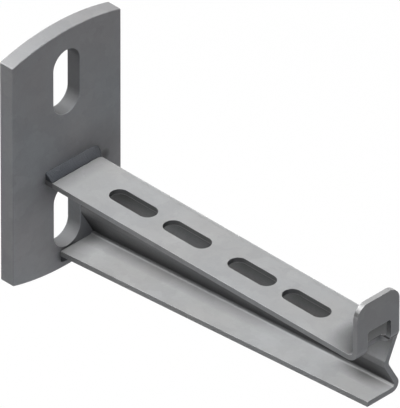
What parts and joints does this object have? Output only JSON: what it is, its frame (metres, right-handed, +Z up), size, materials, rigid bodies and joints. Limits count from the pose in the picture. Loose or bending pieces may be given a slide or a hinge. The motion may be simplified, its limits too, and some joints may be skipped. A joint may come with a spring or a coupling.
{
  "type": "cantilever strut arm",
  "caption": "Welded wall arm for cable tray: a slotted head plate with curved ends carries a tapering arm of folded sheet with long slots and an upturned end lip.",
  "frame": {"origin": "centre of the head plate's back face, which lies against the wall", "axes": "+X out of the wall along the arm, +Z up, +Y across the plate towards the side that the web is on"},
  "size_m": [0.15, 0.05, 0.094],
  "materials": {
    "plate_zinc": "hot-dip galvanised steel plate, matt grey",
    "sheet_zinc": "hot-dip galvanised steel sheet, matt grey",
    "weld_zinc": "rippled weld bead under a thin zinc coat, darker grey"
  },
  "bodies": {
    "root": {"head_plate": "plate_zinc", "support_arm": "sheet_zinc", "top_weld": "weld_zinc", "web_weld": "weld_zinc", "bottom_weld": "weld_zinc"}
  },
  "joints": []
}
